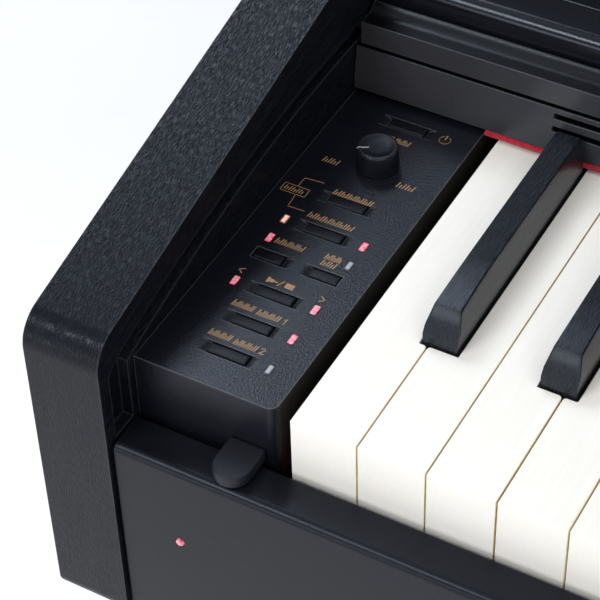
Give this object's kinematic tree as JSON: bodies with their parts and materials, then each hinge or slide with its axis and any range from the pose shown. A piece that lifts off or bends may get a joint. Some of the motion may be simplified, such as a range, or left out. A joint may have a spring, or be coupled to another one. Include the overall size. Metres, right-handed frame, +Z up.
{
  "type": "digital piano on stand",
  "caption": "Upright digital piano on a panel stand, with weighted keys, sliding key lid, side control panel, music rest and pedals.",
  "frame": {"origin": "on the floor under the middle of the whole object's box", "axes": "+Z up, +Y from the player to the back, +X from the low notes to the high notes"},
  "size_m": [1.392, 0.432, 0.9725],
  "materials": {
    "woodgrain_black": "embossed wood-grain laminate, satin",
    "smooth_black": "smooth satin laminate",
    "panel_plastic": "fine matte grain",
    "key_white": "satin ivory tone",
    "key_black": "satin, fine grain",
    "red_felt": "pressed felt",
    "light_pipe": "clear light pipe, lit",
    "soft_black": "matt rubber",
    "steel": "bright zinc plate",
    "pedal_metal": "polished brass plate",
    "circuit_green": "lacquered board",
    "speaker_paper": "pressed paper",
    "frame_metal": "black paint"
  },
  "bodies": {
    "cabinet": {"base_feet": "woodgrain_black", "console_panel": "panel_plastic", "floor_glides": "soft_black", "headphone_box": "panel_plastic", "key_bed": "smooth_black", "key_chassis": "frame_metal", "key_contact_board": "circuit_green", "key_felt": "red_felt", "key_fulcrum_rod": "steel", "key_slip": "smooth_black", "key_stop_felt": "red_felt", "left_arm_board": "woodgrain_black", "left_end_block": "panel_plastic", "left_side_board": "woodgrain_black", "lid_rest_tabs": "soft_black", "main_circuit_board": "circuit_green", "music_rest_hinges": "frame_metal", "panel_circuit_board": "circuit_green", "panel_indicators": "light_pipe", "pedal_beam": "woodgrain_black", "pedal_cover": "panel_plastic", "pedal_rod": "steel", "power_indicator": "light_pipe", "rear_jack_plate": "panel_plastic", "right_arm_board": "woodgrain_black", "right_end_block": "panel_plastic", "right_side_board": "woodgrain_black", "speaker_cones": "speaker_paper", "speaker_frames": "frame_metal", "stand_back_panel": "woodgrain_black", "stand_screws": "steel", "top_board": "woodgrain_black", "top_front_rail": "smooth_black", "upper_back_panel": "smooth_black"},
    "lid": {"lid_panel": "smooth_black", "lid_nose": "smooth_black", "lid_rollers": "soft_black"},
    "rest_plate": {"music_rest": "smooth_black"},
    "knob": {"volume_knob": "panel_plastic"},
    "pedal_left": {"left_pedal": "pedal_metal"},
    "pedal_middle": {"middle_pedal": "pedal_metal"},
    "pedal_right": {"right_pedal": "pedal_metal"},
    "adjuster": {"beam_adjuster": "soft_black"},
    "power_button_body": {"power_button": "panel_plastic"},
    "function_button_body": {"function_button": "panel_plastic"},
    "metronome_button_body": {"metronome_button": "panel_plastic"},
    "reverb_button_body": {"reverb_button": "panel_plastic"},
    "recorder_button_body": {"recorder_button": "panel_plastic"},
    "play_button_body": {"play_button": "panel_plastic"},
    "tone_one_button_body": {"tone_one_button": "panel_plastic"},
    "tone_two_button_body": {"tone_two_button": "panel_plastic"},
    "white_key_a0_body": {"white_key_a0": "key_white"},
    "white_key_b0_body": {"white_key_b0": "key_white"},
    "white_key_c1_body": {"white_key_c1": "key_white"},
    "white_key_d1_body": {"white_key_d1": "key_white"},
    "white_key_e1_body": {"white_key_e1": "key_white"},
    "black_key_a_sharp0_body": {"black_key_a_sharp0": "key_black"},
    "black_key_c_sharp1_body": {"black_key_c_sharp1": "key_black"},
    "remaining_white_keys_body": {"remaining_white_keys": "key_white"},
    "remaining_black_keys_body": {"remaining_black_keys": "key_black"}
  },
  "joints": [
    {"name": "lid_slide", "type": "hinge", "parent": "cabinet", "child": "lid", "pos_m": [0, -0.0594, 0.2546], "axis": [1, 0, 0], "range_deg": [0, 19]},
    {"name": "music_rest_fold", "type": "hinge", "parent": "cabinet", "child": "rest_plate", "pos_m": [0, 0.065, 0.83], "axis": [1, 0, 0], "range_deg": [-70, 0]},
    {"name": "volume_turn", "type": "hinge", "parent": "cabinet", "child": "knob", "pos_m": [-0.6414, -0.0796, 0.7275], "axis": [0, 0, 1], "range_deg": [-270, 0]},
    {"name": "power_press", "type": "slide", "parent": "cabinet", "child": "power_button_body", "axis": [0, 0, -1], "range_m": [0, 0.0008], "stiffness_N_per_m": 600, "springref_m": -0.001},
    {"name": "function_press", "type": "slide", "parent": "cabinet", "child": "function_button_body", "axis": [0, 0, -1], "range_m": [0, 0.0008], "stiffness_N_per_m": 600, "springref_m": -0.001},
    {"name": "metronome_press", "type": "slide", "parent": "cabinet", "child": "metronome_button_body", "axis": [0, 0, -1], "range_m": [0, 0.0008], "stiffness_N_per_m": 600, "springref_m": -0.001},
    {"name": "reverb_press", "type": "slide", "parent": "cabinet", "child": "reverb_button_body", "axis": [0, 0, -1], "range_m": [0, 0.0008], "stiffness_N_per_m": 600, "springref_m": -0.001},
    {"name": "recorder_press", "type": "slide", "parent": "cabinet", "child": "recorder_button_body", "axis": [0, 0, -1], "range_m": [0, 0.0008], "stiffness_N_per_m": 600, "springref_m": -0.001},
    {"name": "play_press", "type": "slide", "parent": "cabinet", "child": "play_button_body", "axis": [0, 0, -1], "range_m": [0, 0.0008], "stiffness_N_per_m": 600, "springref_m": -0.001},
    {"name": "tone_one_press", "type": "slide", "parent": "cabinet", "child": "tone_one_button_body", "axis": [0, 0, -1], "range_m": [0, 0.0008], "stiffness_N_per_m": 600, "springref_m": -0.001},
    {"name": "tone_two_press", "type": "slide", "parent": "cabinet", "child": "tone_two_button_body", "axis": [0, 0, -1], "range_m": [0, 0.0008], "stiffness_N_per_m": 600, "springref_m": -0.001},
    {"name": "left_pedal_press", "type": "hinge", "parent": "cabinet", "child": "pedal_left", "pos_m": [-0.07, 0.078, 0.066], "axis": [1, 0, 0], "range_deg": [0, 4.5], "stiffness_Nm_per_rad": 12, "springref_deg": -5.73},
    {"name": "middle_pedal_press", "type": "hinge", "parent": "cabinet", "child": "pedal_middle", "pos_m": [0, 0.078, 0.066], "axis": [1, 0, 0], "range_deg": [0, 4.5], "stiffness_Nm_per_rad": 12, "springref_deg": -5.73},
    {"name": "right_pedal_press", "type": "hinge", "parent": "cabinet", "child": "pedal_right", "pos_m": [0.07, 0.078, 0.066], "axis": [1, 0, 0], "range_deg": [0, 4.5], "stiffness_Nm_per_rad": 12, "springref_deg": -5.73},
    {"name": "adjuster_screw", "type": "slide", "parent": "cabinet", "child": "adjuster", "axis": [0, 0, 1], "range_m": [0, 0.01]},
    {"name": "white_a0_press", "type": "hinge", "parent": "cabinet", "child": "white_key_a0_body", "pos_m": [-0.59925, 0.028, 0.714], "axis": [1, 0, 0], "range_deg": [0, 2.55], "stiffness_Nm_per_rad": 1.2, "springref_deg": -11.46},
    {"name": "white_b0_press", "type": "hinge", "parent": "cabinet", "child": "white_key_b0_body", "pos_m": [-0.57575, 0.028, 0.714], "axis": [1, 0, 0], "range_deg": [0, 2.55], "stiffness_Nm_per_rad": 1.2, "springref_deg": -11.46},
    {"name": "white_c1_press", "type": "hinge", "parent": "cabinet", "child": "white_key_c1_body", "pos_m": [-0.55225, 0.028, 0.714], "axis": [1, 0, 0], "range_deg": [0, 2.55], "stiffness_Nm_per_rad": 1.2, "springref_deg": -11.46},
    {"name": "white_d1_press", "type": "hinge", "parent": "cabinet", "child": "white_key_d1_body", "pos_m": [-0.52875, 0.028, 0.714], "axis": [1, 0, 0], "range_deg": [0, 2.55], "stiffness_Nm_per_rad": 1.2, "springref_deg": -11.46},
    {"name": "white_e1_press", "type": "hinge", "parent": "cabinet", "child": "white_key_e1_body", "pos_m": [-0.50525, 0.028, 0.714], "axis": [1, 0, 0], "range_deg": [0, 2.55], "stiffness_Nm_per_rad": 1.2, "springref_deg": -11.46},
    {"name": "black_a_sharp0_press", "type": "hinge", "parent": "cabinet", "child": "black_key_a_sharp0_body", "pos_m": [-0.58365, 0.028, 0.714], "axis": [1, 0, 0], "range_deg": [0, 2.55], "stiffness_Nm_per_rad": 0.9, "springref_deg": -11.46},
    {"name": "black_c_sharp1_press", "type": "hinge", "parent": "cabinet", "child": "black_key_c_sharp1_body", "pos_m": [-0.5426, 0.028, 0.714], "axis": [1, 0, 0], "range_deg": [0, 2.55], "stiffness_Nm_per_rad": 0.9, "springref_deg": -11.46},
    {"name": "remaining_white_press", "type": "hinge", "parent": "cabinet", "child": "remaining_white_keys_body", "pos_m": [0, 0.028, 0.714], "axis": [1, 0, 0], "range_deg": [0, 2.55], "stiffness_Nm_per_rad": 56.4, "springref_deg": -11.46},
    {"name": "remaining_black_press", "type": "hinge", "parent": "cabinet", "child": "remaining_black_keys_body", "pos_m": [0, 0.028, 0.714], "axis": [1, 0, 0], "range_deg": [0, 2.55], "stiffness_Nm_per_rad": 30.6, "springref_deg": -11.46}
  ]
}
